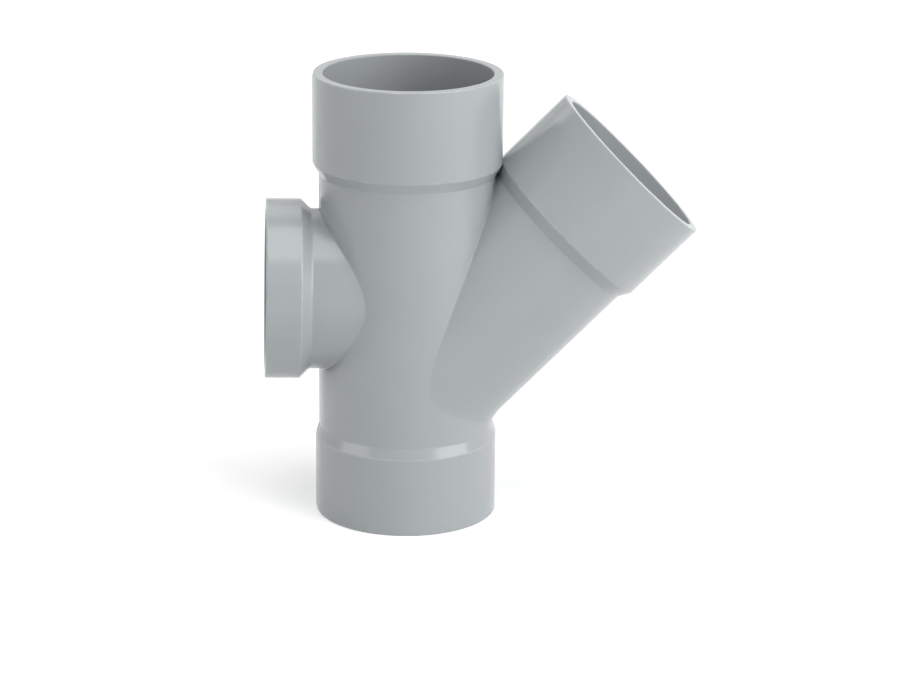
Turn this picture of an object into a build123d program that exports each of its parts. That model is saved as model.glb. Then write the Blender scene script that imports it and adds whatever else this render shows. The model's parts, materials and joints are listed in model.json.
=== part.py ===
import os
from math import cos, radians, sin, sqrt

from build123d import *

# One moulded drainage fitting: an upright run with a plain socket at each end, a branch
# that leaves it at 45 degrees, and a short side inlet opposite the branch.
# Millimetres. The origin is the centre of the foot's mouth, +Z goes up the run, and +X is
# the side of the 45 degree branch. The part is the same on both sides of the XZ plane.

# The pipe that the run and the branch take, and the skin of their sockets and barrels. The
# foot's socket has a thinner wall than the two above it.
pipe_radius = 25.0
cement_gap = 0.15
socket_wall = 2.9
foot_socket_wall = 2.05
stop_step = 2.0
barrel_wall = 3.05

# The run, from the foot's rim to the top rim
run_height = 135.0
foot_socket_depth = 23.8
top_socket_depth = 26.9
run_taper = 3.25

# The branch. The inner corner of its collar is moulded into the corner of the top collar,
# as deep as collar_overlap, and that sets where the branch starts on the run.
branch_angle = 45.0
branch_socket_depth = 26.9
branch_taper = 3.6
branch_side_trim = 0.5
collar_overlap = 0.3

# The side inlet, which rises very slightly outwards so that it drains into the run. Its axis
# crosses the run's axis at inlet_drop below the top collar.
inlet_angle = 89.0
inlet_drop = 39.3
inlet_length = 42.4
inlet_pipe_radius = 23.8
inlet_socket_depth = 10.4
inlet_stop_step = 2.85
inlet_taper = 2.8
inlet_side_trim = 1.65

# The outer edge of each rim is rounded, and each mouth has a small bevel to lead the pipe in
rim_round = 0.45
mouth_bevel = 0.25

# Radii that follow from the pipes and the walls
socket_radius = pipe_radius + cement_gap
collar_radius = socket_radius + socket_wall
foot_collar_radius = socket_radius + foot_socket_wall
passage_radius = socket_radius - stop_step
barrel_radius = passage_radius + barrel_wall
inlet_socket_radius = inlet_pipe_radius + cement_gap
inlet_collar_radius = inlet_socket_radius + socket_wall
inlet_passage_radius = inlet_socket_radius - inlet_stop_step
inlet_neck_radius = inlet_passage_radius + barrel_wall

# Places that follow: where the top collar starts, how far along its own axis the branch's
# collar starts, and how high the two side axes cross the run's axis
slope = radians(branch_angle)
top_collar_start = run_height - top_socket_depth
branch_reach = (collar_radius - collar_overlap + collar_radius * cos(slope)) / sin(slope)
branch_height = top_collar_start - branch_reach * cos(slope) - collar_radius * sin(slope)
inlet_height = top_collar_start - inlet_drop
inlet_reach = inlet_length - inlet_socket_depth


def limb_root(angle, height):
    """Plane square to a limb's axis, where it crosses the run's axis. Its Y lies across."""
    outward = Vector(sin(radians(angle)), 0, cos(radians(angle)))
    return Plane((0, 0, height), x_dir=Vector(0, 1, 0).cross(outward), z_dir=outward)


branch_root = limb_root(branch_angle, branch_height)
inlet_root = limb_root(-inlet_angle, inlet_height)

# Outside of the run: one outline turned round the Z axis. Each collar steps down to the
# barrel over a short taper.
with BuildPart() as run_skin:
    with BuildSketch(Plane.XZ):
        with BuildLine():
            Polyline(
                (0, 0),
                (foot_collar_radius, 0),
                (foot_collar_radius, foot_socket_depth),
                (barrel_radius, foot_socket_depth + run_taper),
                (barrel_radius, top_collar_start - run_taper),
                (collar_radius, top_collar_start),
                (collar_radius, run_height),
                (0, run_height),
                close=True,
            )
        make_face()
    revolve(axis=Axis.Z)


def round_outline(plane, radius, side_trim=0.0):
    """Circle drawn in at its two sides: four arcs that run smoothly into each other."""
    shift = side_trim / (2 - sqrt(2))
    with BuildSketch(plane) as outline:
        with BuildLine():
            CenterArc((shift, 0), radius - shift, -45, 90)
            CenterArc((0, -shift), radius - side_trim + shift, 45, 90)
            CenterArc((-shift, 0), radius - shift, 135, 90)
            CenterArc((0, shift), radius - side_trim + shift, 225, 90)
        make_face()
    return outline.sketch


def limb_skin(root, reach, socket_depth, taper, collar, neck, side_trim):
    """Outside of a branch: a neck drawn in at its sides, a taper and a round collar."""
    with BuildPart() as skin:
        extrude(round_outline(root, neck, side_trim), amount=reach - taper)
        neck_end = round_outline(root.offset(reach - taper), neck, side_trim)
        collar_start = round_outline(root.offset(reach), collar)
        loft([neck_end, collar_start], ruled=True)
        with BuildSketch(root.offset(reach)):
            Circle(collar)
        extrude(amount=socket_depth)
    return skin.part


def limb_hollow(root, reach, socket_depth, socket, passage, side_trim):
    """Inside of a branch: the passage into the run, and the socket in front of its stop."""
    with BuildPart() as hollow:
        extrude(round_outline(root, passage, side_trim), amount=reach)
        with BuildSketch(root.offset(reach)):
            Circle(socket)
        extrude(amount=socket_depth)
    return hollow.part


branch_skin = limb_skin(
    branch_root, branch_reach, branch_socket_depth, branch_taper,
    collar_radius, barrel_radius, branch_side_trim,
)
branch_hollow = limb_hollow(
    branch_root, branch_reach, branch_socket_depth,
    socket_radius, passage_radius, branch_side_trim,
)
inlet_skin = limb_skin(
    inlet_root, inlet_reach, inlet_socket_depth, inlet_taper,
    inlet_collar_radius, inlet_neck_radius, inlet_side_trim,
)
inlet_hollow = limb_hollow(
    inlet_root, inlet_reach, inlet_socket_depth,
    inlet_socket_radius, inlet_passage_radius, inlet_side_trim,
)

with BuildPart() as fitting_body:
    add(run_skin.part)
    add(branch_skin)
    add(inlet_skin)

    # Inside of the run: a socket at each end, and the passage between the two stops
    with BuildSketch():
        Circle(passage_radius)
    extrude(amount=run_height, mode=Mode.SUBTRACT)
    with BuildSketch():
        Circle(socket_radius)
    extrude(amount=foot_socket_depth, mode=Mode.SUBTRACT)
    with BuildSketch(Plane.XY.offset(run_height)):
        Circle(socket_radius)
    extrude(amount=-top_socket_depth, mode=Mode.SUBTRACT)
    add(branch_hollow, mode=Mode.SUBTRACT)
    add(inlet_hollow, mode=Mode.SUBTRACT)

    # The four flat rims are rounded at their outer edge and bevelled inside the mouth
    limb_axes = [Axis(root.origin, root.z_dir) for root in (branch_root, inlet_root)]
    rims = [fitting_body.faces().sort_by(axis)[-1] for axis in (Axis.Z, -Axis.Z, *limb_axes)]
    outer_edges = [rim.outer_wire().edge() for rim in rims]
    mouth_edges = [rim.inner_wires()[0].edge() for rim in rims]
    fillet(outer_edges, rim_round)
    chamfer(mouth_edges, mouth_bevel)

fitting_body.part.label = "fitting_body"
os.makedirs("parts", exist_ok=True)
export_step(fitting_body.part, "parts/fitting_body.step")
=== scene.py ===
# %% [markdown]
# # A moulded drainage fitting
# The real object is one piece of light grey rigid plastic, made in a steel mould. An upright run
# has a plain socket at each end, a branch leaves it at 45 degrees, and a short side inlet stands
# opposite. Pipes are cemented into the sockets, so there are no rings, seals or screws to add.
# The solid model of it is loaded first, and everything after that is measured from it.

# %% Load the solid model
import json
from math import atan2, cos, hypot, pi, radians, sin, sqrt, tau

import bmesh
import bpy
from mathutils import Matrix, Vector
from mathutils.geometry import delaunay_2d_cdt


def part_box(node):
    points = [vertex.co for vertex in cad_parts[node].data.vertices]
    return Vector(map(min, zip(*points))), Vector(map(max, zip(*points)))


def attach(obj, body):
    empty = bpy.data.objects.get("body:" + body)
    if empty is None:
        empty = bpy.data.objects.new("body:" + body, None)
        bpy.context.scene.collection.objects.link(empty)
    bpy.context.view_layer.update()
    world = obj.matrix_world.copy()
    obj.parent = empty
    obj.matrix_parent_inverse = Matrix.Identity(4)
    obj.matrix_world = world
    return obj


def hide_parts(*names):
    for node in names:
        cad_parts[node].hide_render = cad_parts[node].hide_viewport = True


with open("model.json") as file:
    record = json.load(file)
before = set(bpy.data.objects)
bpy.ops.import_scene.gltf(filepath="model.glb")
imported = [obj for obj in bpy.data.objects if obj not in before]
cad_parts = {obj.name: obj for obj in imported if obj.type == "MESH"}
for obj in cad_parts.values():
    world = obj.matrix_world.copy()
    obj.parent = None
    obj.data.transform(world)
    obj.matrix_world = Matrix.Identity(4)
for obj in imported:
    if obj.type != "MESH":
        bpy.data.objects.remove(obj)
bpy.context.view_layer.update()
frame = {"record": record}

low_corner, high_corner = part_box("fitting_body")
print("solid model from", low_corner, "to", high_corner)

# %% [markdown]
# ## Sizes
# Blender works in metres. The radius, depth and direction of each socket are read from the record
# that came with the solid model, so they can't drift away from it. The walls, steps and tapers are
# the model's own sizes. They are written once here, and what lines up with them is worked out.

# %% Sizes of the run
MM = 0.001
bores = {mount["name"]: mount for mount in frame["record"]["mounts"]}

rim_round = 0.45 * MM
mouth_bevel = 0.25 * MM
socket_wall = 2.9 * MM
foot_socket_wall = 2.05 * MM
barrel_wall = 3.05 * MM
stop_step = 2.0 * MM
run_taper = 3.25 * MM


def bore_radius(name):
    """The radius of a socket, in metres."""
    return bores[name]["dims"]["r_mm"] * MM


def socket_depth(name):
    """From a socket's rim to its stop: the bevel of the mouth and the straight bore."""
    return bores[name]["dims"]["length_mm"] * MM + mouth_bevel


socket_radius = bore_radius("top_socket")
collar_radius = socket_radius + socket_wall
foot_collar_radius = socket_radius + foot_socket_wall
passage_radius = socket_radius - stop_step
barrel_radius = passage_radius + barrel_wall
run_height = high_corner.z
foot_collar_end = socket_depth("foot_socket")
top_collar_start = run_height - socket_depth("top_socket")
print("the run is", round(run_height / MM, 2), "mm tall")
print("its barrel is", round(barrel_radius / MM, 2), "mm in radius")

# %% [markdown]
# ## Where the side tubes end
# The inner corner of the branch's collar is moulded into the corner of the top collar, and that
# touch decides how far out the collar starts. The inlet is shorter and a little narrower. It has
# its own length, and its stop is a deeper step.

# %% Sizes of the branch and the side inlet
branch_taper = 3.6 * MM
branch_side_trim = 0.5 * MM
collar_overlap = 0.3 * MM
branch_out, _, branch_up = bores["branch_socket"]["axis"]
branch_reach = (collar_radius - collar_overlap + collar_radius * branch_up) / branch_out
branch_length = branch_reach + socket_depth("branch_socket")

inlet_length = 42.4 * MM
inlet_taper = 2.8 * MM
inlet_side_trim = 1.65 * MM
inlet_stop_step = 2.85 * MM
inlet_socket_radius = bore_radius("side_inlet_socket")
inlet_collar_radius = inlet_socket_radius + socket_wall
inlet_passage_radius = inlet_socket_radius - inlet_stop_step
inlet_neck_radius = inlet_passage_radius + barrel_wall
inlet_reach = inlet_length - socket_depth("side_inlet_socket")
for name, start, end in (("branch", branch_reach, branch_length), ("inlet", inlet_reach, inlet_length)):
    print(name, "collar from", round(start / MM, 2), "to", round(end / MM, 2), "mm along its axis")

# %% [markdown]
# ## Limbs
# The run, the branch and the inlet are all tubes, so one description fits them: a root on the
# run's axis, the way the tube goes, and two directions across it. A ring of points round such a
# tube is then one line of arithmetic. The necks are a little narrower across than up and down,
# which is why a ring has two radii. The two halves of the mould close on the plane that holds all
# the axes and leave a fine raised line there, so each ring has extra points beside that plane.

# %% Choose the points round a ring
EVEN_POINTS = 144
LINE_HALF_ANGLE = radians(0.45)

even_turns = [tau * k / EVEN_POINTS for k in range(EVEN_POINTS)]
line_edge_turns = [turn + side * LINE_HALF_ANGLE for turn in (0, pi) for side in (-1, 1)]
TURNS = sorted(even_turns + [turn % tau for turn in line_edge_turns])
SAMPLES = len(TURNS)
print(SAMPLES, "points round each ring")

# %% Describe a tube and a point on it
ACROSS = Vector((0, 1, 0))


def make_limb(height, direction):
    """A tube's root on the run's axis, its direction, and the level direction across it."""
    along = Vector(direction).normalized()
    return {"root": Vector((0, 0, height)), "along": along, "level": ACROSS.cross(along)}


def height_on_axis(bore):
    """Where the line of a slanted bore crosses the run's axis."""
    x, _, z = bore["pos_m"]
    return z - x * bore["axis"][2] / bore["axis"][0]


def local_place(t, level_radius, across_radius, turn):
    """A point of a ring in the tube's own directions: level, across and along."""
    return Vector((level_radius * cos(turn), across_radius * sin(turn), t))


def kept_in_box(place):
    """The same place, but never outside the solid model's box."""
    limits = zip(place, low_corner, high_corner)
    return Vector(min(max(value, low), high) for value, low, high in limits)


def to_model(limb, local):
    """A point of a tube in the model's directions."""
    place = limb["root"] + limb["level"] * local.x + ACROSS * local.y + limb["along"] * local.z
    return kept_in_box(place)


run = make_limb(0, (0, 0, 1))
branch = make_limb(height_on_axis(bores["branch_socket"]), bores["branch_socket"]["axis"])
inlet = make_limb(height_on_axis(bores["side_inlet_socket"]), bores["side_inlet_socket"]["axis"])
for name, limb in (("run", run), ("branch", branch), ("inlet", inlet)):
    print(name, "starts at", round(limb["root"].z / MM, 2), "mm and goes", tuple(limb["along"]))

# %% [markdown]
# ## One skin
# A moulded part is one closed skin, outside and inside. It could be made with Boolean modifiers,
# but those leave a hard, ragged line where two tubes meet, and that line is what the eye goes to
# on a fitting like this. Instead the skin is laid row by row: rings of the same number of points
# are bridged with four-sided faces, and only the two walls that the side tubes cut through need
# another way. Each point also keeps its place in its own tube's directions, for the fine streaks
# of the plastic, and a mark that says how exposed it is to knocks.

# %% Start the skin and bridge its rings
skin_points = []
skin_faces = []
inner_faces = set()
line_points = set()
grain_places = []
knock_marks = []


def add_point(place, grain, knock=0.0):
    """Adds one point to the skin and returns its number."""
    skin_points.append(place)
    grain_places.append(grain)
    knock_marks.append(knock)
    return len(skin_points) - 1


def add_ring(limb, stations, level_radius, across_radius, knock=0.0):
    """A ring round a tube. stations holds the distance along it for each point."""
    ring = []
    for t, turn in zip(stations, TURNS):
        local = local_place(t, level_radius, across_radius, turn)
        ring.append(add_point(to_model(limb, local), local, knock))
    return ring


def add_face(corners, inner, has_line):
    """Adds one face, and notes whether it lies inside and whether the parting line crosses it."""
    if inner:
        inner_faces.add(len(skin_faces))
    if has_line:
        line_points.update(corners)
    skin_faces.append(corners)


def bridge(rings, inner=False, has_line=False):
    """Four-sided faces between each ring and the next."""
    for lower, upper in zip(rings, rings[1:]):
        for k in range(SAMPLES):
            after = (k + 1) % SAMPLES
            add_face((lower[k], lower[after], upper[after], upper[k]), inner, has_line)


print("the skin starts with", len(skin_points), "points and", len(skin_faces), "faces")

# %% [markdown]
# ## Softened corners
# No corner of a moulded part is truly sharp: the mould's own edges are rounded and the plastic
# shrinks away from them. A Bevel modifier would round them all alike. Here each corner of an
# outline is replaced by its own short curve, which catches a thin line of light as the real one
# does, so the same helper serves a collar's edge, a stop and a rim.

# %% Turn a tube's outline into rows with soft corners
CORNER_STEPS = 4
CORNER_ROWS = CORNER_STEPS + 1
# A cut never takes more than this share of the side that it lies on
LARGEST_SHARE = 0.45


def hump(s):
    """0 at both ends of a curve and 1 in its middle."""
    return 4 * s * (1 - s)


def soften(outline):
    """Rows of (distance, level radius, across radius, knock) from corners and their two cuts."""
    rows = []
    for index, (corner, cuts, knock) in enumerate(outline):
        here = Vector(corner)
        if cuts is None:
            rows.append((*here, knock))
            continue
        before = Vector(outline[index - 1][0]) - here
        after = Vector(outline[index + 1][0]) - here
        start = here + before.normalized() * min(cuts[0], before.length * LARGEST_SHARE)
        end = here + after.normalized() * min(cuts[1], after.length * LARGEST_SHARE)
        pull = sin(before.angle(after) / 2)
        for step in range(CORNER_ROWS):
            s = step / CORNER_STEPS
            shares = ((1 - s) ** 2, 2 * s * (1 - s) * pull, s ** 2)
            curve = (start * shares[0] + here * shares[1] + end * shares[2]) / sum(shares)
            rows.append((*curve, knock * hump(s)))
    return rows


def add_rows(limb, outline):
    """A ring for each row of a softened outline."""
    rings = []
    for t, level_radius, across_radius, knock in soften(outline):
        rings.append(add_ring(limb, [t] * SAMPLES, level_radius, across_radius, knock))
    return rings


print("a soft corner takes", CORNER_ROWS, "rows")

# %% [markdown]
# ## Where a side tube meets the run
# Each line along a side tube meets the round wall of the run at one point, and all those points
# make the seam. On the real part the seam is a small blend, because the mould was cut with one.
# Bevelling the edges of a cut leaves pinched faces, so each seam point gets a partner on the run's
# wall and one on the side tube, and a curve is drawn between them.

# %% Find the seam of a side tube on a round wall
CUT_ANGLE = -pi / 2


def unrolled(place, radius):
    """A point of the round wall as (distance round it, height), cut open on the viewer's side."""
    angle = atan2(place.y, place.x)
    if angle < CUT_ANGLE:
        angle += tau
    return Vector((radius * angle, place.z))


def rolled(flat, radius):
    """The same point back on the round wall."""
    angle = flat.x / radius
    return Vector((radius * cos(angle), radius * sin(angle), flat.y))


def seam_stations(limb, level_radius, across_radius, wall_radius):
    """How far along the side tube each of its lines meets the wall."""
    side = 1 if limb["along"].x > 0 else -1
    stations = []
    for turn in TURNS:
        local = local_place(0, level_radius, across_radius, turn)
        wall_x = side * sqrt(wall_radius ** 2 - local.y ** 2)
        stations.append((wall_x - limb["level"].x * local.x) / limb["along"].x)
    return stations


def rounded_range(stations):
    """The smallest and the largest distance, in millimetres."""
    return round(min(stations) / MM, 2), round(max(stations) / MM, 2)


branch_seam = seam_stations(branch, barrel_radius, barrel_radius - branch_side_trim, barrel_radius)
inlet_seam = seam_stations(inlet, inlet_neck_radius, inlet_neck_radius - inlet_side_trim, barrel_radius)
print("the branch leaves the run", *rounded_range(branch_seam), "mm along its axis")
print("the inlet leaves the run", *rounded_range(inlet_seam), "mm along its axis")

# %% [markdown]
# ## Blends
# A blend is given by how far it reaches. Its rings start on the branch's low side and on the
# inlet's top, and there it has one reach on the run's wall and one on the tube. A third reach is
# for the tube's sides, and a fourth for the far side, opposite the start. On the low side of the
# branch, where the walls open out, the plastic is built up into a small flat web, and in the tight
# crotch above it the blend is hardly there. Inside, the seam is sharp, because the steel cores that
# form the passages meet there.

# %% Draw the rings of a blend
BLEND_STEPS = 4
# The higher the focus, the shorter the stretch of the ring that has the first or the far reach
FIRST_FOCUS = 3
FAR_FOCUS = 8

BRANCH_BLEND = {
    "first_on_wall": 1.1 * MM, "first_on_tube": 4.0 * MM, "sides": 0.5 * MM, "far": 0.2 * MM, "web": 0.8}
INLET_BLEND = {
    "first_on_wall": 0.2 * MM, "first_on_tube": 0.2 * MM, "sides": 0.28 * MM, "far": 0.45 * MM, "web": 0}
CORE_BLEND = {
    "first_on_wall": 0.25 * MM, "first_on_tube": 0.25 * MM, "sides": 0.25 * MM, "far": 0.25 * MM, "web": 0}


def blend_reach(blend, turn):
    """How far a blend reaches on the wall and on the tube, and how flat its web is, at one turn."""
    first_share = ((1 + cos(turn)) / 2) ** FIRST_FOCUS
    far_share = ((1 - cos(turn)) / 2) ** FAR_FOCUS
    elsewhere = blend["sides"] + (blend["far"] - blend["sides"]) * far_share
    on_wall = elsewhere + (blend["first_on_wall"] - elsewhere) * first_share
    on_tube = elsewhere + (blend["first_on_tube"] - elsewhere) * first_share
    return on_wall, on_tube, blend["web"] * first_share


def outward(loop, k, centre):
    """The direction square to a flat loop at one of its points, away from its centre."""
    edge = loop[(k + 1) % SAMPLES] - loop[k - 1]
    away = Vector((edge.y, -edge.x)).normalized()
    if away.dot(loop[k] - centre) < 0:
        away.negate()
    return away


def blend_rings(limb, level_radius, across_radius, wall_radius, blend, knock=0.0):
    """Rings from the run's wall onto the side tube, and the distances at which they end."""
    stations = seam_stations(limb, level_radius, across_radius, wall_radius)
    seam_grain = [local_place(t, level_radius, across_radius, turn) for t, turn in zip(stations, TURNS)]
    seam = [to_model(limb, local) for local in seam_grain]
    flat = [unrolled(place, wall_radius) for place in seam]
    centre = sum(flat, Vector((0, 0))) / SAMPLES
    rings = [[] for _ in range(BLEND_STEPS + 1)]
    ends = []
    for k, turn in enumerate(TURNS):
        wall_reach, tube_reach, flatness = blend_reach(blend, turn)
        on_wall = rolled(flat[k] + outward(flat, k, centre) * wall_reach, wall_radius)
        on_tube = seam[k] + limb["along"] * tube_reach
        ends.append(stations[k] + tube_reach)
        pull = seam[k].lerp((on_wall + on_tube) / 2, flatness)
        for step, ring in enumerate(rings):
            s = step / BLEND_STEPS
            place = on_wall.lerp(pull, s).lerp(pull.lerp(on_tube, s), s)
            grain = place.copy() if step == 0 else seam_grain[k]
            ring.append(add_point(place, grain, knock * hump(s)))
    return rings, ends


branch_first_reach = max(blend_reach(BRANCH_BLEND, 0)[:2])
print("the branch's blend starts with a reach of", round(branch_first_reach / MM, 2), "mm")

# %% [markdown]
# ## The run
# Starting from the wall, one outline goes over the taper and the collar, round the rim, through
# the bevel of the mouth and along the socket to its stop, and comes out in the passage. It fits
# both ends of the run and both side tubes, so it is written once. The rims are rounded outside,
# and the bevel leads the pipe in. A Screw modifier could turn such an outline round its axis too,
# but these rings have to join the walls and the blends point for point.

# %% Outline an end with its taper, collar and socket
COLLAR_CUTS = (0.4 * MM, 0.35 * MM)
ROUND_CUTS = (rim_round, rim_round)
BEVEL_CUTS = (0.06 * MM, 0.06 * MM)
STOP_CUTS = (0.25 * MM, 0.25 * MM)
STOP_LIP = 1.0 * MM
# A plain row stands this many cuts before a soft corner, so that the corner gets its whole cut
LEAD_IN_CUTS = 2.3
# Before the rim's own rows come the plain one and those of two corners
RIM_START = 1 + 2 * CORNER_ROWS
MOUTH_START = RIM_START + CORNER_ROWS


def end_outline(start, rim, taper, taper_cuts, collar, neck, socket, passage, side_trim=0.0):
    """Corners from a neck over its taper and collar, round the rim and along the socket."""
    out = 1 if rim > start else -1
    neck_end = start - out * taper
    lead_in = neck_end - out * taper_cuts[0] * LEAD_IN_CUTS
    mouth = socket + mouth_bevel
    return [
        ((lead_in, neck, neck - side_trim), None, 0),
        ((neck_end, neck, neck - side_trim), taper_cuts, 0),
        ((start, collar, collar), COLLAR_CUTS, 1),
        ((rim, collar, collar), ROUND_CUTS, 1),
        ((rim, mouth, mouth), BEVEL_CUTS, 1),
        ((rim - out * mouth_bevel, socket, socket), BEVEL_CUTS, 1),
        ((start, socket, socket), STOP_CUTS, 0),
        ((start, passage, passage - side_trim), STOP_CUTS, 1),
        ((start - out * STOP_LIP, passage, passage - side_trim), None, 0),
    ]


def bridge_end(rings, before=(), after=()):
    """Faces over the outside, the rim and the inside of an end."""
    bridge([*before, *rings[:RIM_START + 1]], has_line=True)
    bridge(rings[RIM_START:MOUTH_START + 1])
    bridge([*rings[MOUTH_START:], *after], inner=True)


# %% Lay the two ends of the run
TAPER_CUT = 1.0 * MM
FOOT_TAPER_CUTS = (0.2 * MM, 0.4 * MM)
TOP_TAPER_CUTS = (0.1 * MM, TAPER_CUT)


def run_end(start, rim, taper_cuts, collar):
    """Lays an end of the run and returns its rings on the outer wall and in the passage."""
    outline = end_outline(
        start, rim, run_taper, taper_cuts, collar, neck=barrel_radius, socket=socket_radius,
        passage=passage_radius)
    rings = add_rows(run, outline)
    bridge_end(rings)
    return rings[0], rings[-1]


foot_wall_ring, foot_passage_ring = run_end(foot_collar_end, 0.0, FOOT_TAPER_CUTS, foot_collar_radius)
top_wall_ring, top_passage_ring = run_end(top_collar_start, run_height, TOP_TAPER_CUTS, collar_radius)
print("run ends:", len(skin_points), "points")

# %% [markdown]
# ## The branch and the side inlet
# Both follow the same pattern, so one function makes them. The blend on the outside leads to the
# neck, whose rows slide from the slanted seam to a square end. Then come the taper, the collar,
# the rim, the socket and its stop, and the passage, which slides back to the inner blend.

# %% Lay a side tube from its outer seam to its inner one
NECK_CUT = 0.5 * MM
NECK_CUT_SHARE = 0.4
BRANCH_NECK_ROWS = 16
INLET_NECK_ROWS = 6


def sliding_rows(limb, start, end, level_radius, across_radius, count):
    """Rings that go over from the slanted distances of a seam to one square distance."""
    rows = []
    for j in range(1, count):
        s = j / count
        stations = [t + (end - t) * s for t in start]
        rows.append(add_ring(limb, stations, level_radius, across_radius))
    return rows


def side_tube(limb, reach, length, taper, collar, neck, socket, passage, side_trim, neck_rows, blend):
    """Lays a side tube and returns the first rings of its outer and inner blends."""
    outer_blend, neck_start = blend_rings(limb, neck, neck - side_trim, barrel_radius, blend)
    inner_blend, passage_start = blend_rings(
        limb, passage, passage - side_trim, passage_radius, CORE_BLEND, knock=1)
    neck_end = reach - taper
    neck_cut = min(NECK_CUT, (neck_end - max(neck_start)) * NECK_CUT_SHARE)
    rings = add_rows(limb, end_outline(
        reach, length, taper, (neck_cut, TAPER_CUT), collar, neck, socket, passage, side_trim))
    neck_rings = sliding_rows(
        limb, neck_start, neck_end - neck_cut * LEAD_IN_CUTS, neck, neck - side_trim, neck_rows)
    passage_rings = sliding_rows(
        limb, passage_start, reach - STOP_LIP, passage, passage - side_trim, neck_rows)
    bridge_end(rings, outer_blend + neck_rings, passage_rings[::-1] + inner_blend[::-1])
    return outer_blend[0], inner_blend[0]


branch_hole, branch_inner_hole = side_tube(
    branch, branch_reach, branch_length, branch_taper, collar=collar_radius, neck=barrel_radius,
    socket=socket_radius, passage=passage_radius, side_trim=branch_side_trim,
    neck_rows=BRANCH_NECK_ROWS, blend=BRANCH_BLEND)
inlet_hole, inlet_inner_hole = side_tube(
    inlet, inlet_reach, inlet_length, inlet_taper, collar=inlet_collar_radius,
    neck=inlet_neck_radius, socket=inlet_socket_radius, passage=inlet_passage_radius,
    side_trim=inlet_side_trim, neck_rows=INLET_NECK_ROWS, blend=INLET_BLEND)
print("with the side tubes:", len(skin_points), "points")

# %% [markdown]
# ## A wall with holes in it
# Between its two ends, the run's wall is a sheet with two big holes. It is easiest to think of it
# unrolled and flat, like a label peeled off a tin. Blender can triangulate flat points and keep
# chosen edges, so the two rings, the two seams and a light grid of points go in, and the triangles
# that fill a hole are thrown away. Rolled up again, the sheet joins every ring point for point.

# %% Measure on the flat sheet
GRID_ROWS = 34
GRID_CLEARANCE = 0.6
ALONG_SQUEEZE = 0.5


def in_loop(point, loop):
    """Whether a flat point lies inside a closed loop."""
    inside = False
    for a, b in zip(loop, loop[1:] + loop[:1]):
        if (a.y > point.y) != (b.y > point.y):
            if point.x < a.x + (b.x - a.x) * (point.y - a.y) / (b.y - a.y):
                inside = not inside
    return inside


def squeezed(point):
    """A flat point with its height squeezed, so that the triangles come out longer up the wall."""
    return Vector((point.x, point.y * ALONG_SQUEEZE))


def stands_clear(point, loops, radius):
    """Whether a grid point is outside the holes and not too close to their edges."""
    spacing = tau * radius / EVEN_POINTS
    nearest = min(hypot(*squeezed(point - other)) for loop in loops for other in loop)
    return nearest > spacing * GRID_CLEARANCE and not any(in_loop(point, loop) for loop in loops)


def sheet_columns():
    """The turns of a ring in order round the sheet, from its cut to its cut, with their indices."""
    first = TURNS.index(min(TURNS, key=lambda turn: abs(turn - tau - CUT_ANGLE)))
    before_zero = [(TURNS[k] - tau, k) for k in range(first, SAMPLES)]
    return before_zero + [(TURNS[k], k) for k in range(first + 1)]


print("the sheet has", len(sheet_columns()), "columns and", GRID_ROWS - 1, "rows of grid points")

# %% Fill the run's two walls round their holes
SAME_POINT = 1e-9


def pierced_wall(radius, low_ring, high_ring, holes, inner):
    """Triangles of the run's wall between two rings, round the holes whose first rings are given."""
    low = skin_points[low_ring[0]].z
    high = skin_points[high_ring[0]].z
    heights = [low + (high - low) * j / GRID_ROWS for j in range(1, GRID_ROWS)]
    loops = [[unrolled(skin_points[n], radius) for n in hole] for hole in holes]
    columns = sheet_columns()
    left = radius * columns[0][0]
    right = radius * columns[-1][0]
    flat = []
    numbers = []

    def place_flat(point, number):
        """Puts a point of the skin on the flat sheet and returns its place in the list."""
        flat.append(squeezed(point))
        numbers.append(number)
        return len(flat) - 1

    cut_places = [rolled(Vector((left, z)), radius) for z in heights]
    cut_edge = [add_point(place, place.copy()) for place in cut_places]
    border = [place_flat(Vector((radius * turn, low)), low_ring[k]) for turn, k in columns]
    border += [place_flat(Vector((right, z)), n) for z, n in zip(heights, cut_edge)]
    border += [place_flat(Vector((radius * turn, high)), high_ring[k]) for turn, k in reversed(columns)]
    border += [place_flat(Vector((left, z)), n) for z, n in zip(heights[::-1], cut_edge[::-1])]
    edges = list(zip(border, border[1:] + border[:1]))
    for hole, loop in zip(holes, loops):
        hole_edge = [place_flat(point, number) for point, number in zip(loop, hole)]
        edges += list(zip(hole_edge, hole_edge[1:] + hole_edge[:1]))

    for point in [Vector((radius * turn, z)) for turn, _ in columns[1:-1] for z in heights]:
        if stands_clear(point, loops, radius):
            place = rolled(point, radius)
            place_flat(point, add_point(place, place.copy()))

    found, _, triangles, origins, _, _ = delaunay_2d_cdt(flat, edges, [], 0, SAME_POINT)
    flat_loops = [[squeezed(point) for point in loop] for loop in loops]
    faces_before = len(skin_faces)
    for triangle in triangles:
        middle = sum((found[i] for i in triangle), Vector((0, 0))) / 3
        if not any(in_loop(middle, loop) for loop in flat_loops):
            add_face(tuple(numbers[origins[i][0]] for i in triangle), inner, not inner)
    print("wall of radius", round(radius / MM, 2), "mm:", len(skin_faces) - faces_before,
          "triangles, points added by Blender:", len(found) - len(flat))


pierced_wall(barrel_radius, foot_wall_ring, top_wall_ring, [branch_hole, inlet_hole], inner=False)
pierced_wall(passage_radius, foot_passage_ring, top_passage_ring,
             [branch_inner_hole, inlet_inner_hole], inner=True)

# %% [markdown]
# ## The piece
# The rows and triangles become one mesh. Its two extra numbers for each point go along as
# attributes, so that a material can read them, and the faces inside get the second material.

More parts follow.
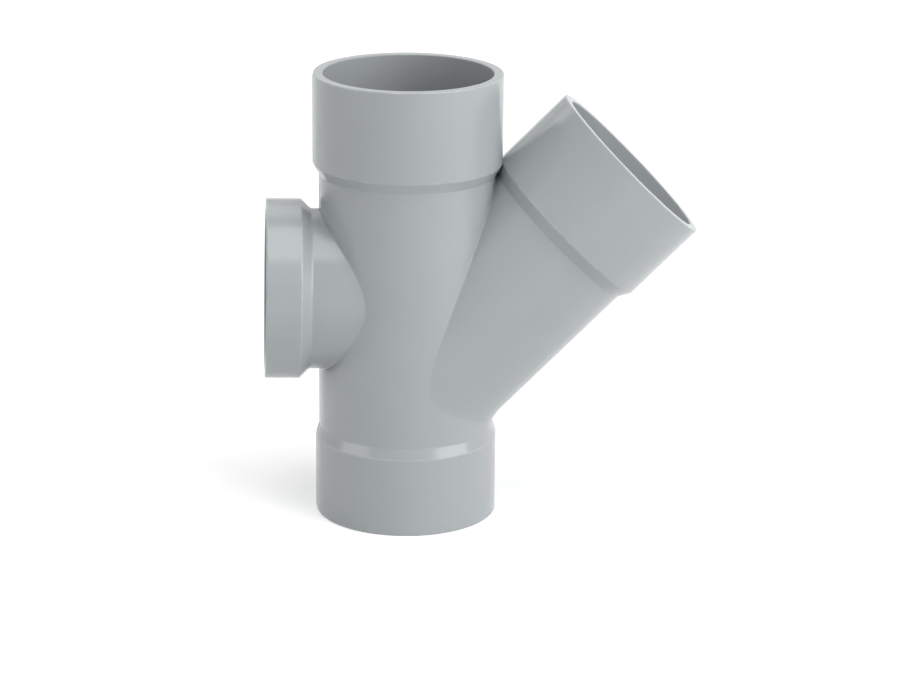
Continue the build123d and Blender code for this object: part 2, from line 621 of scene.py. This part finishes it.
# %% Make the mesh
def make_fitting():
    """One closed mesh of the whole fitting."""
    mesh = bpy.data.meshes.new("moulded_fitting")
    mesh.from_pydata(skin_points, [], skin_faces)
    for index, polygon in enumerate(mesh.polygons):
        polygon.material_index = 1 if index in inner_faces else 0
        polygon.use_smooth = True
    grain = mesh.attributes.new("grain_place", "FLOAT_VECTOR", "POINT")
    grain.data.foreach_set("vector", [value for place in grain_places for value in place])
    knock = mesh.attributes.new("knock_mark", "FLOAT", "POINT")
    knock.data.foreach_set("value", knock_marks)
    piece = bpy.data.objects.new("moulded_fitting", mesh)
    bpy.context.scene.collection.objects.link(piece)
    return piece


fitting = make_fitting()
print("faces:", len(fitting.data.polygons))

# %% [markdown]
# ## Parting line
# Where the two halves of the mould close, a little plastic creeps between them and stays on the
# part as a fine raised line. It could be drawn as a bump in the material, but it also shows on the
# outline of the part, so the points on the closing plane are lifted. The points beside them stay,
# and the edges of the line are marked as sharp, or smooth shading would hide it. The faces are
# turned to face outwards first, because the points are lifted along their normals.

# %% Turn the faces outwards and raise the parting line
LINE_HEIGHT = 0.10 * MM
ON_PLANE = 0.001 * MM
LINE_EDGE_MARGIN = 1.2
LINE_EDGE_REACH = LINE_EDGE_MARGIN * sin(LINE_HALF_ANGLE) * collar_radius
CUBIC_CM = 1e-6


def raise_parting_line(shell):
    """Lifts the outer points on the mould's closing plane, and keeps the line's edges crisp."""
    lifted = [vert for vert in shell.verts if vert.index in line_points and abs(vert.co.y) < ON_PLANE]
    moves = [(vert, vert.normal * LINE_HEIGHT) for vert in lifted]
    for vert, move in moves:
        vert.co = kept_in_box(vert.co + move)
    line = set(lifted)
    beside = {edge.other_vert(vert) for vert in lifted for edge in vert.link_edges} - line
    beside = {vert for vert in beside if abs(vert.co.y) < LINE_EDGE_REACH}
    for edge in shell.edges:
        on_line = all(vert in line for vert in edge.verts)
        beside_line = all(vert in beside for vert in edge.verts)
        same_side = edge.verts[0].co.y * edge.verts[1].co.y > 0
        if on_line or (beside_line and same_side):
            edge.smooth = False
    crisp = sum(1 for edge in shell.edges if not edge.smooth)
    print("parting line:", len(lifted), "points lifted by", round(LINE_HEIGHT / MM, 2), "mm")
    print("it has", crisp, "crisp edges")


shell = bmesh.new()
shell.from_mesh(fitting.data)
bmesh.ops.recalc_face_normals(shell, faces=shell.faces)
shell.normal_update()
raise_parting_line(shell)
shell.to_mesh(fitting.data)
open_edges = sum(1 for edge in shell.edges if len(edge.link_faces) != 2)
print("open edges:", open_edges, "volume:", round(shell.calc_volume() / CUBIC_CM, 2), "cm3")
shell.free()

# %% [markdown]
# ## In the place of the plain solid
# Smooth shading alone would make the flat rims look domed. A Weighted Normal modifier gives the
# large flat faces the say over the shading, so the rims stay flat while the soft corners beside
# them stay round.

# %% Shade the piece and put it in its place
FLAT_FACE_WEIGHT = 80

shading = fitting.modifiers.new("flat_rims", "WEIGHTED_NORMAL")
shading.weight = FLAT_FACE_WEIGHT
shading.keep_sharp = True
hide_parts("fitting_body")
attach(fitting, "root")
print(fitting.name, "takes the place of fitting_body")

# %% [markdown]
# ## Shader helpers
# Each finish below is built from a few nodes. Placing and linking them one by one takes three or
# four lines each, so a few small helpers do it: one adds a node and fills in its sockets, and
# others add the kinds of nodes that come back again and again.

# %% Helpers for nodes
def node_socket(node, name):
    """An input by its name, with _ for a space, or by its number as i0, i1 and so on."""
    if name[0] == "i" and name[1:].isdigit():
        return node.inputs[int(name[1:])]
    return node.inputs[name.replace("_", " ")]


def add_node(tree, kind, settings=None, **sockets):
    """Adds a node. Sockets are given by name, as a value or as another node's output."""
    node = tree.nodes.new(kind)
    for name, value in (settings or {}).items():
        setattr(node, name, value)
    for name, value in sockets.items():
        socket = node_socket(node, name)
        if isinstance(value, bpy.types.NodeSocket):
            tree.links.new(value, socket)
        else:
            socket.default_value = value
    return node


def calculate(tree, operation, *values, clamp=False):
    """The result of a Math node on one, two or three values."""
    sockets = {f"i{index}": value for index, value in enumerate(values)}
    settings = {"operation": operation, "use_clamp": clamp}
    return add_node(tree, "ShaderNodeMath", settings, **sockets).outputs[0]


def weighted_sum(tree, *pairs):
    """Adds up values, each times its own amount."""
    total = 0.0
    for value, amount in pairs:
        total = calculate(tree, "MULTIPLY_ADD", value, amount, total)
    return total


def mixed(tree, share, first, second):
    """A colour that goes from the first to the second as the share rises from 0 to 1."""
    return add_node(tree, "ShaderNodeMix", {"data_type": "RGBA"}, i0=share, i6=first, i7=second).outputs[2]


def remapped(tree, value, **ends):
    """A value brought from one range to another, by default from and to 0 and 1."""
    return add_node(tree, "ShaderNodeMapRange", Value=value, **ends).outputs[0]


def attribute(tree, name, output):
    """A number or a place that each point of the mesh carries."""
    return add_node(tree, "ShaderNodeAttribute", {"attribute_name": name}).outputs[output]


def noise(tree, place, scale, detail, roughness=0.5):
    """A cloudy value from 0 to 1."""
    return add_node(tree, "ShaderNodeTexNoise", Vector=place, Scale=scale, Detail=detail,
                    Roughness=roughness).outputs["Fac"]


def stretched(tree, place, factors):
    """A place with each of its directions scaled by its own factor."""
    return add_node(tree, "ShaderNodeVectorMath", {"operation": "MULTIPLY"}, i0=place, i1=factors).outputs[0]


print("helpers ready for a tree of nodes")

# %% [markdown]
# ## Node groups
# Two finishes share every effect on this part. An effect could be copied into each material, but a
# node group is built once, has named inputs and outputs, and is placed in each material with its
# own amounts, so that a change to it reaches both.

# %% Start a node group and place one in a material
FLOAT = "NodeSocketFloat"
COLOUR = "NodeSocketColor"


def start_group(name, inputs, outputs):
    """A new shader node group with its inputs (name, kind, default) and outputs (name, kind)."""
    group = bpy.data.node_groups.new(name, "ShaderNodeTree")
    for socket_name, kind, default in inputs:
        socket = group.interface.new_socket(name=socket_name, in_out="INPUT", socket_type=kind)
        socket.default_value = default
    for socket_name, kind in outputs:
        group.interface.new_socket(name=socket_name, in_out="OUTPUT", socket_type=kind)
    entry = group.nodes.new("NodeGroupInput").outputs
    result = group.nodes.new("NodeGroupOutput").inputs
    return group, entry, result


def use_group(tree, group, **sockets):
    """Places a node group in a material, with its own values."""
    return add_node(tree, "ShaderNodeGroup", {"node_tree": group}, **sockets).outputs


def tell_size(group):
    """Prints how many nodes a group has."""
    print("group", group.name, "has", len(group.nodes), "nodes")


print("groups take inputs of the kinds", FLOAT, "and", COLOUR)

# %% [markdown]
# ## Effect 1: colour of the plastic
# Grey pipe plastic is coloured all through, but it is never one flat grey. The melt flows round
# the cores, so the tone drifts a little over centimetres and runs in faint streaks along each
# tube, and there is a fine speckle from the filler. Three noises give these three scales. They are
# read in each tube's own directions, so the streaks on the branch follow the branch.

# %% Build the plastic colour group
STREAK_STRETCH = (420.0, 420.0, 22.0)

plastic_tone, entry, result = start_group(
    "plastic_tone",
    [("Light Tone", COLOUR, (0.4, 0.4, 0.4, 1)), ("Dark Tone", COLOUR, (0.3, 0.3, 0.3, 1)),
     ("Drift", FLOAT, 0.5), ("Streaks", FLOAT, 0.3), ("Speckle", FLOAT, 0.2)],
    [("Color", COLOUR)])
place = attribute(plastic_tone, "grain_place", "Vector")
drift = noise(plastic_tone, place, scale=38.0, detail=2.0)
along_tube = stretched(plastic_tone, place, STREAK_STRETCH)
streaks = noise(plastic_tone, along_tube, scale=1.0, detail=3.0, roughness=0.6)
speckle = noise(plastic_tone, place, scale=2600.0, detail=2.0, roughness=0.7)
lightness = weighted_sum(
    plastic_tone, (drift, entry["Drift"]), (streaks, entry["Streaks"]), (speckle, entry["Speckle"]))
tone = mixed(plastic_tone, lightness, entry["Dark Tone"], entry["Light Tone"])
plastic_tone.links.new(tone, result["Color"])
tell_size(plastic_tone)

# %% [markdown]
# ## Effect 2: surface of the mould
# The mould was turned and polished, and it leaves two things in the plastic: a very shallow
# ripple that makes reflections waver, and fine lines drawn along each tube where the part slid
# off its core. They are far too shallow to model, so they go out as one height for a Bump node,
# and as a mask for the roughness.

# %% Build the mould surface group
DRAW_STRETCH = (900.0, 900.0, 30.0)

mould_surface, entry, result = start_group(
    "mould_surface",
    [("Ripple", FLOAT, 0.5), ("Draw Lines", FLOAT, 0.3), ("Grain", FLOAT, 0.2)],
    [("Height", FLOAT), ("Mask", FLOAT)])
place = attribute(mould_surface, "grain_place", "Vector")
ripple = noise(mould_surface, place, scale=110.0, detail=1.0, roughness=0.4)
along_tube = stretched(mould_surface, place, DRAW_STRETCH)
draw_lines = noise(mould_surface, along_tube, scale=1.0, detail=4.0, roughness=0.65)
grain = noise(mould_surface, place, scale=1900.0, detail=3.0, roughness=0.6)
height = weighted_sum(
    mould_surface, (ripple, entry["Ripple"]), (draw_lines, entry["Draw Lines"]), (grain, entry["Grain"]))
mould_surface.links.new(height, result["Height"])
mask = calculate(mould_surface, "MULTIPLY", draw_lines, ripple)
mould_surface.links.new(mask, result["Mask"])
tell_size(mould_surface)

# %% [markdown]
# ## Effect 3: rubbed edges
# Fittings are packed loose in a box, so the exposed corners of collars and rims get rubbed and
# turn a little paler and duller. Blender can find corners by the curvature of a mesh, but only as
# finely as the mesh is divided. So the knock mark of each point says where those corners are, and
# a noise breaks the line up so that it isn't the same all the way round.

# %% Build the rubbed edge group
rubbed_edge, entry, result = start_group(
    "rubbed_edge", [("Amount", FLOAT, 0.5)], [("Mask", FLOAT)])
knock = attribute(rubbed_edge, "knock_mark", "Fac")
place = attribute(rubbed_edge, "grain_place", "Vector")
broken = noise(rubbed_edge, place, scale=260.0, detail=3.0, roughness=0.6)
patchy = remapped(rubbed_edge, broken, From_Min=0.35, From_Max=0.65)
rubbed = calculate(rubbed_edge, "MULTIPLY", knock, patchy)
mask = calculate(rubbed_edge, "MULTIPLY", rubbed, entry["Amount"], clamp=True)
rubbed_edge.links.new(mask, result["Mask"])
tell_size(rubbed_edge)

# %% [markdown]
# ## Effect 4: handling scratches
# Under a lamp, stacked fittings show a few hair-thin scratches. A Voronoi texture puts one dot at
# a random place in each of its cells. With cells that are stretched to over forty times their
# width, each dot becomes a thin dash, and three turned copies give dashes that lie in several
# directions. A large noise decides where there are any at all.

# %% Build the scratch group
SCRATCH_TURNS = ((0.2, 0.1, 0.0), (1.1, 0.3, 0.8), (1.9, 0.6, 2.2))
SCRATCH_STRETCH = (700.0, 700.0, 16.0)

hair_scratches, entry, result = start_group(
    "hair_scratches", [("Amount", FLOAT, 0.5), ("Width", FLOAT, 0.04)], [("Mask", FLOAT)])
place = attribute(hair_scratches, "grain_place", "Vector")
cloud = noise(hair_scratches, place, scale=90.0, detail=2.0)
some_places = remapped(hair_scratches, cloud, From_Min=0.52, From_Max=0.7)
scratches = 0.0
for turned_by in SCRATCH_TURNS:
    turned = add_node(hair_scratches, "ShaderNodeVectorRotate", {"rotation_type": "EULER_XYZ"},
                      Vector=place, Rotation=turned_by).outputs[0]
    cells = stretched(hair_scratches, turned, SCRATCH_STRETCH)
    dots = add_node(hair_scratches, "ShaderNodeTexVoronoi", Vector=cells, Scale=1.0).outputs["Distance"]
    dash = calculate(hair_scratches, "LESS_THAN", dots, entry["Width"])
    scratches = calculate(hair_scratches, "MAXIMUM", scratches, dash)
mask = calculate(hair_scratches, "MULTIPLY", scratches, some_places)
mask = calculate(hair_scratches, "MULTIPLY", mask, entry["Amount"], clamp=True)
hair_scratches.links.new(mask, result["Mask"])
tell_size(hair_scratches)

# %% [markdown]
# ## Effect 5: painted shade along the parting line
# The skin along the raised line is painted a little darker than the skin beside it, as painted
# shade for the thin shadow that falls along the ridge. The mould closes on the plane y = 0 of this
# model, so the distance from that plane is all that the effect needs, and a noise lets the shade
# wander a little, as it does on a real part.

# %% Build the painted parting line shade group
# The line is painted darker: painted shade standing in for the thin shadow along the raised ridge
LINE_WANDER = 0.06 * MM

parting_line_painted_shade, entry, result = start_group(
    "parting_line_painted_shade", [("Half Width", FLOAT, 0.15 * MM)], [("Shade", FLOAT)])
place = add_node(parting_line_painted_shade, "ShaderNodeTexCoord").outputs["Object"]
cloud = noise(parting_line_painted_shade, place, scale=60.0, detail=1.0)
shift = remapped(parting_line_painted_shade, cloud, To_Min=-LINE_WANDER, To_Max=LINE_WANDER)
side = add_node(parting_line_painted_shade, "ShaderNodeSeparateXYZ", Vector=place).outputs["Y"]
moved = calculate(parting_line_painted_shade, "ADD", side, shift)
away = calculate(parting_line_painted_shade, "ABSOLUTE", moved)
share = calculate(parting_line_painted_shade, "DIVIDE", away, entry["Half Width"])
shade = add_node(parting_line_painted_shade, "ShaderNodeMapRange", {"interpolation_type": "SMOOTHSTEP"}, Value=share,
                 From_Min=1.0, From_Max=3.0, To_Min=1.0, To_Max=0.0).outputs[0]
parting_line_painted_shade.links.new(shade, result["Shade"])
tell_size(parting_line_painted_shade)

# %% [markdown]
# ## The two finishes
# Outside, the plastic has the satin gloss of a polished mould. Inside, it was formed by cores
# that are less polished and give a duller skin, and its tones are set a little darker than the
# outside's, as painted shade for the dim inside of the sockets and passages. Both use the same
# five effects with different amounts, and each ends in its own Principled shader, whose constant
# values stand on its own sockets.

# %% Build a plastic material from the effects
RUBBED_TONE = (0.52, 0.54, 0.55, 1)
SCRATCHED_TONE = (0.48, 0.50, 0.51, 1)
# Tone and share of the painted shade along the parting line
PAINTED_LINE_SHADE_TONE = (0.20, 0.22, 0.23, 1)
PAINTED_LINE_SHADE_STRENGTH = 0.12
RUBBED_DULLNESS = 0.15
SCRATCHED_DULLNESS = 0.12
MOULD_RELIEF = 0.03 * MM


def moulded_plastic(name, light, dark, smoothest, roughest, draw, scratched):
    """A moulded plastic with its tones, roughness and amounts of draw lines and scratches."""
    material = bpy.data.materials.new(name)
    material.use_nodes = True
    tree = material.node_tree
    tree.nodes.clear()
    tone = use_group(
        tree, plastic_tone, Light_Tone=light, Dark_Tone=dark, Drift=0.55, Streaks=0.25, Speckle=0.2)
    surface = use_group(tree, mould_surface, Ripple=0.5, Draw_Lines=draw, Grain=0.12)
    rubbing = use_group(tree, rubbed_edge, Amount=0.5)["Mask"]
    hairs = use_group(tree, hair_scratches, Amount=scratched, Width=0.05)["Mask"]
    # Painted shade along the parting line: a darker tone in place of the thin shadow beside the ridge
    line = use_group(tree, parting_line_painted_shade, Half_Width=0.16 * MM)["Shade"]

    paler = mixed(tree, rubbing, tone["Color"], RUBBED_TONE)
    scratched_tone = mixed(tree, hairs, paler, SCRATCHED_TONE)
    painted_line_shade_share = calculate(tree, "MULTIPLY", line, PAINTED_LINE_SHADE_STRENGTH)
    tone_with_painted_line_shade = mixed(tree, painted_line_shade_share, scratched_tone, PAINTED_LINE_SHADE_TONE)

    gloss = remapped(tree, surface["Mask"], From_Min=0.1, From_Max=0.45, To_Min=smoothest, To_Max=roughest)
    gloss = calculate(tree, "MULTIPLY_ADD", rubbing, RUBBED_DULLNESS, gloss)
    gloss = calculate(tree, "MULTIPLY_ADD", hairs, SCRATCHED_DULLNESS, gloss)
    bump = add_node(tree, "ShaderNodeBump", Strength=0.5, Distance=MOULD_RELIEF, Height=surface["Height"])
    shader = add_node(tree, "ShaderNodeBsdfPrincipled", Base_Color=tone_with_painted_line_shade, Roughness=gloss,
                      Normal=bump.outputs[0], IOR=1.5)
    add_node(tree, "ShaderNodeOutputMaterial", Surface=shader.outputs[0])
    print("material", name, "has", len(tree.nodes), "nodes")
    return material


outside = moulded_plastic(
    "grey_plastic_outside", light=(0.392, 0.417, 0.427, 1), dark=(0.338, 0.364, 0.374, 1),
    smoothest=0.17, roughest=0.25, draw=0.25, scratched=0.35)
# Inside tones a little darker than the outside ones: painted shade for the dim inside of the sockets and
# passages
inside = moulded_plastic(
    "grey_plastic_inside_with_painted_shade", light=(0.386, 0.408, 0.420, 1), dark=(0.334, 0.356, 0.368, 1),
    smoothest=0.28, roughest=0.32, draw=0.1, scratched=0.04)
fitting.data.materials.append(outside)
fitting.data.materials.append(inside)

# %% [markdown]
# ## Floor
# The fitting stands on a plain pale floor. A photographer would light a white sheet until it is
# nearly white in the picture, but extra light would also fall on the fitting. So the floor is an
# ordinary matt surface that keeps its shadow, and it only glows a little for the camera and for
# reflections. Far from the fitting, where the lamps don't reach, it glows more, so that it runs
# into the surround without an edge.

# %% Lay the floor
FLOOR_HALF = 9.0
FLOOR_GAP = 0.1 * MM
FLOOR_TONE = (0.8, 0.8, 0.8, 1)
WHITE = (1, 1, 1, 1)
NEAR_GLOW = 0.45
FAR_GLOW = 0.85
LIT_FROM = 0.5
LIT_TO = 1.1


def seen_directly(tree):
    """1 for the camera, reflections and see-through rays, 0 for light that falls on things."""
    rays = add_node(tree, "ShaderNodeLightPath").outputs
    seen = calculate(tree, "MAXIMUM", rays["Is Camera Ray"], rays["Is Glossy Ray"])
    return calculate(tree, "MAXIMUM", seen, rays["Is Transmission Ray"])


def paper_material():
    """Matt paper that glows a little where it is seen directly."""
    material = bpy.data.materials.new("floor_paper")
    material.use_nodes = True
    tree = material.node_tree
    tree.nodes.clear()
    matt = add_node(tree, "ShaderNodeBsdfDiffuse", Color=FLOOR_TONE)
    place = add_node(tree, "ShaderNodeTexCoord").outputs["Object"]
    distance = add_node(tree, "ShaderNodeVectorMath", {"operation": "LENGTH"}, i0=place).outputs["Value"]
    shine = remapped(tree, distance, From_Min=LIT_FROM, From_Max=LIT_TO, To_Min=NEAR_GLOW, To_Max=FAR_GLOW)
    glow_level = calculate(tree, "MULTIPLY", seen_directly(tree), shine)
    glow = add_node(tree, "ShaderNodeEmission", Color=WHITE, Strength=glow_level)
    paper = add_node(tree, "ShaderNodeAddShader", i0=matt.outputs[0], i1=glow.outputs[0])
    add_node(tree, "ShaderNodeOutputMaterial", Surface=paper.outputs[0])
    return material


floor_mesh = bpy.data.meshes.new("floor")
corners = [(x * FLOOR_HALF, y * FLOOR_HALF, 0) for x, y in ((-1, -1), (1, -1), (1, 1), (-1, 1))]
floor_mesh.from_pydata(corners, [], [(0, 1, 2, 3)])
floor_mesh.materials.append(paper_material())
floor = bpy.data.objects.new("floor", floor_mesh)
floor.location.z = low_corner.z - FLOOR_GAP
bpy.context.scene.collection.objects.link(floor)
print("floor", 2 * FLOOR_HALF, "m wide")

# %% [markdown]
# ## Surround
# Everything beyond the floor is the world, which is white where it is seen. A world that bright
# would flood the fitting with light from all sides and wash out its shape, so for the light that
# falls on things it is only a weak fill.

# %% Set the surround
FILL_LEVEL = 0.16

surround = bpy.data.worlds.new("surround")
surround.use_nodes = True
tree = surround.node_tree
tree.nodes.clear()
level = remapped(tree, seen_directly(tree), To_Min=FILL_LEVEL, To_Max=1.0)
sky = add_node(tree, "ShaderNodeBackground", Color=WHITE, Strength=level)
add_node(tree, "ShaderNodeOutputWorld", Surface=sky.outputs[0])
bpy.context.scene.world = surround
print("surround white, fill", FILL_LEVEL)

# %% [markdown]
# ## Lamps
# Small lamps would draw hard spots on satin plastic. Large ones close to a small object give soft
# edges to every shadow and broad, quiet highlights. The strongest hangs on the right, a little
# above the fitting, so the run goes from mid grey on the left to pale on the right and the far
# inside of each socket falls into shade. A long panel overhead draws the pale band along the top
# of the side inlet. Two weaker lamps, one low on the left and one high behind, open the shadows.

# %% Hang the soft lamps
LAMP_DISTANCE = 1.4
fitting_middle = Vector((0.02, 0, 0.07))


def soft_lamp(name, azimuth, elevation, width, height, watts):
    """A lamp that faces the fitting. Azimuth 0 is the viewer's side and 90 is the right."""
    turn = radians(azimuth)
    lift = radians(elevation)
    direction = Vector((sin(turn) * cos(lift), -cos(turn) * cos(lift), sin(lift)))
    place = fitting_middle + direction * LAMP_DISTANCE
    data = bpy.data.lights.new(name, "AREA")
    data.shape = "RECTANGLE"
    data.size = width
    data.size_y = height
    data.energy = watts
    lamp = bpy.data.objects.new(name, data)
    lamp.location = place
    lamp.rotation_euler = (fitting_middle - place).to_track_quat("-Z", "Y").to_euler()
    bpy.context.scene.collection.objects.link(lamp)
    print(name, "at", place, watts, "W")


soft_lamp("right_lamp", azimuth=57, elevation=23, width=1.2, height=1.2, watts=17.2)
soft_lamp("left_lamp", azimuth=-72, elevation=6, width=1.0, height=1.0, watts=6.6)
soft_lamp("top_lamp", azimuth=0, elevation=75, width=1.0, height=1.3, watts=10.5)
soft_lamp("back_lamp", azimuth=-155, elevation=45, width=1.0, height=1.0, watts=3.4)

# %% [markdown]
# ## Camera
# A long lens from a little above eye level: the vertical sides lean together only slightly, and
# both the top socket and the outside of the foot can be seen. Its place and angles were found by
# matching the outlines of the sockets in the photograph to the sizes above.

# %% Place the camera
CAMERA_PLACE = (-0.050205, -0.86704, 0.325075)
CAMERA_TURN = radians(-4.1745)
CAMERA_TILT = radians(-17.3557)
CAMERA_ROLL = radians(0.6292)
LENS_MM = 120.883
SENSOR_WIDTH_MM = 36.0


def camera_facing(turn, tilt, roll):
    """The camera's directions: right, up and back, turned from the front view by three angles."""
    forward = Vector((-sin(turn) * cos(tilt), cos(turn) * cos(tilt), sin(tilt)))
    level_right = Vector((cos(turn), sin(turn), 0))
    level_up = level_right.cross(forward)
    right = level_right * cos(roll) + level_up * sin(roll)
    up = level_up * cos(roll) - level_right * sin(roll)
    return Matrix((right, up, -forward)).transposed().to_4x4()


camera_data = bpy.data.cameras.new("camera")
camera_data.sensor_width = SENSOR_WIDTH_MM
camera_data.lens = LENS_MM
camera = bpy.data.objects.new("camera", camera_data)
camera.matrix_world = Matrix.Translation(CAMERA_PLACE) @ camera_facing(CAMERA_TURN, CAMERA_TILT, CAMERA_ROLL)
bpy.context.scene.collection.objects.link(camera)
bpy.context.scene.camera = camera
bpy.context.scene.view_settings.view_transform = "Standard"
print("camera at", tuple(camera.location))


bpy.context.view_layer.update()
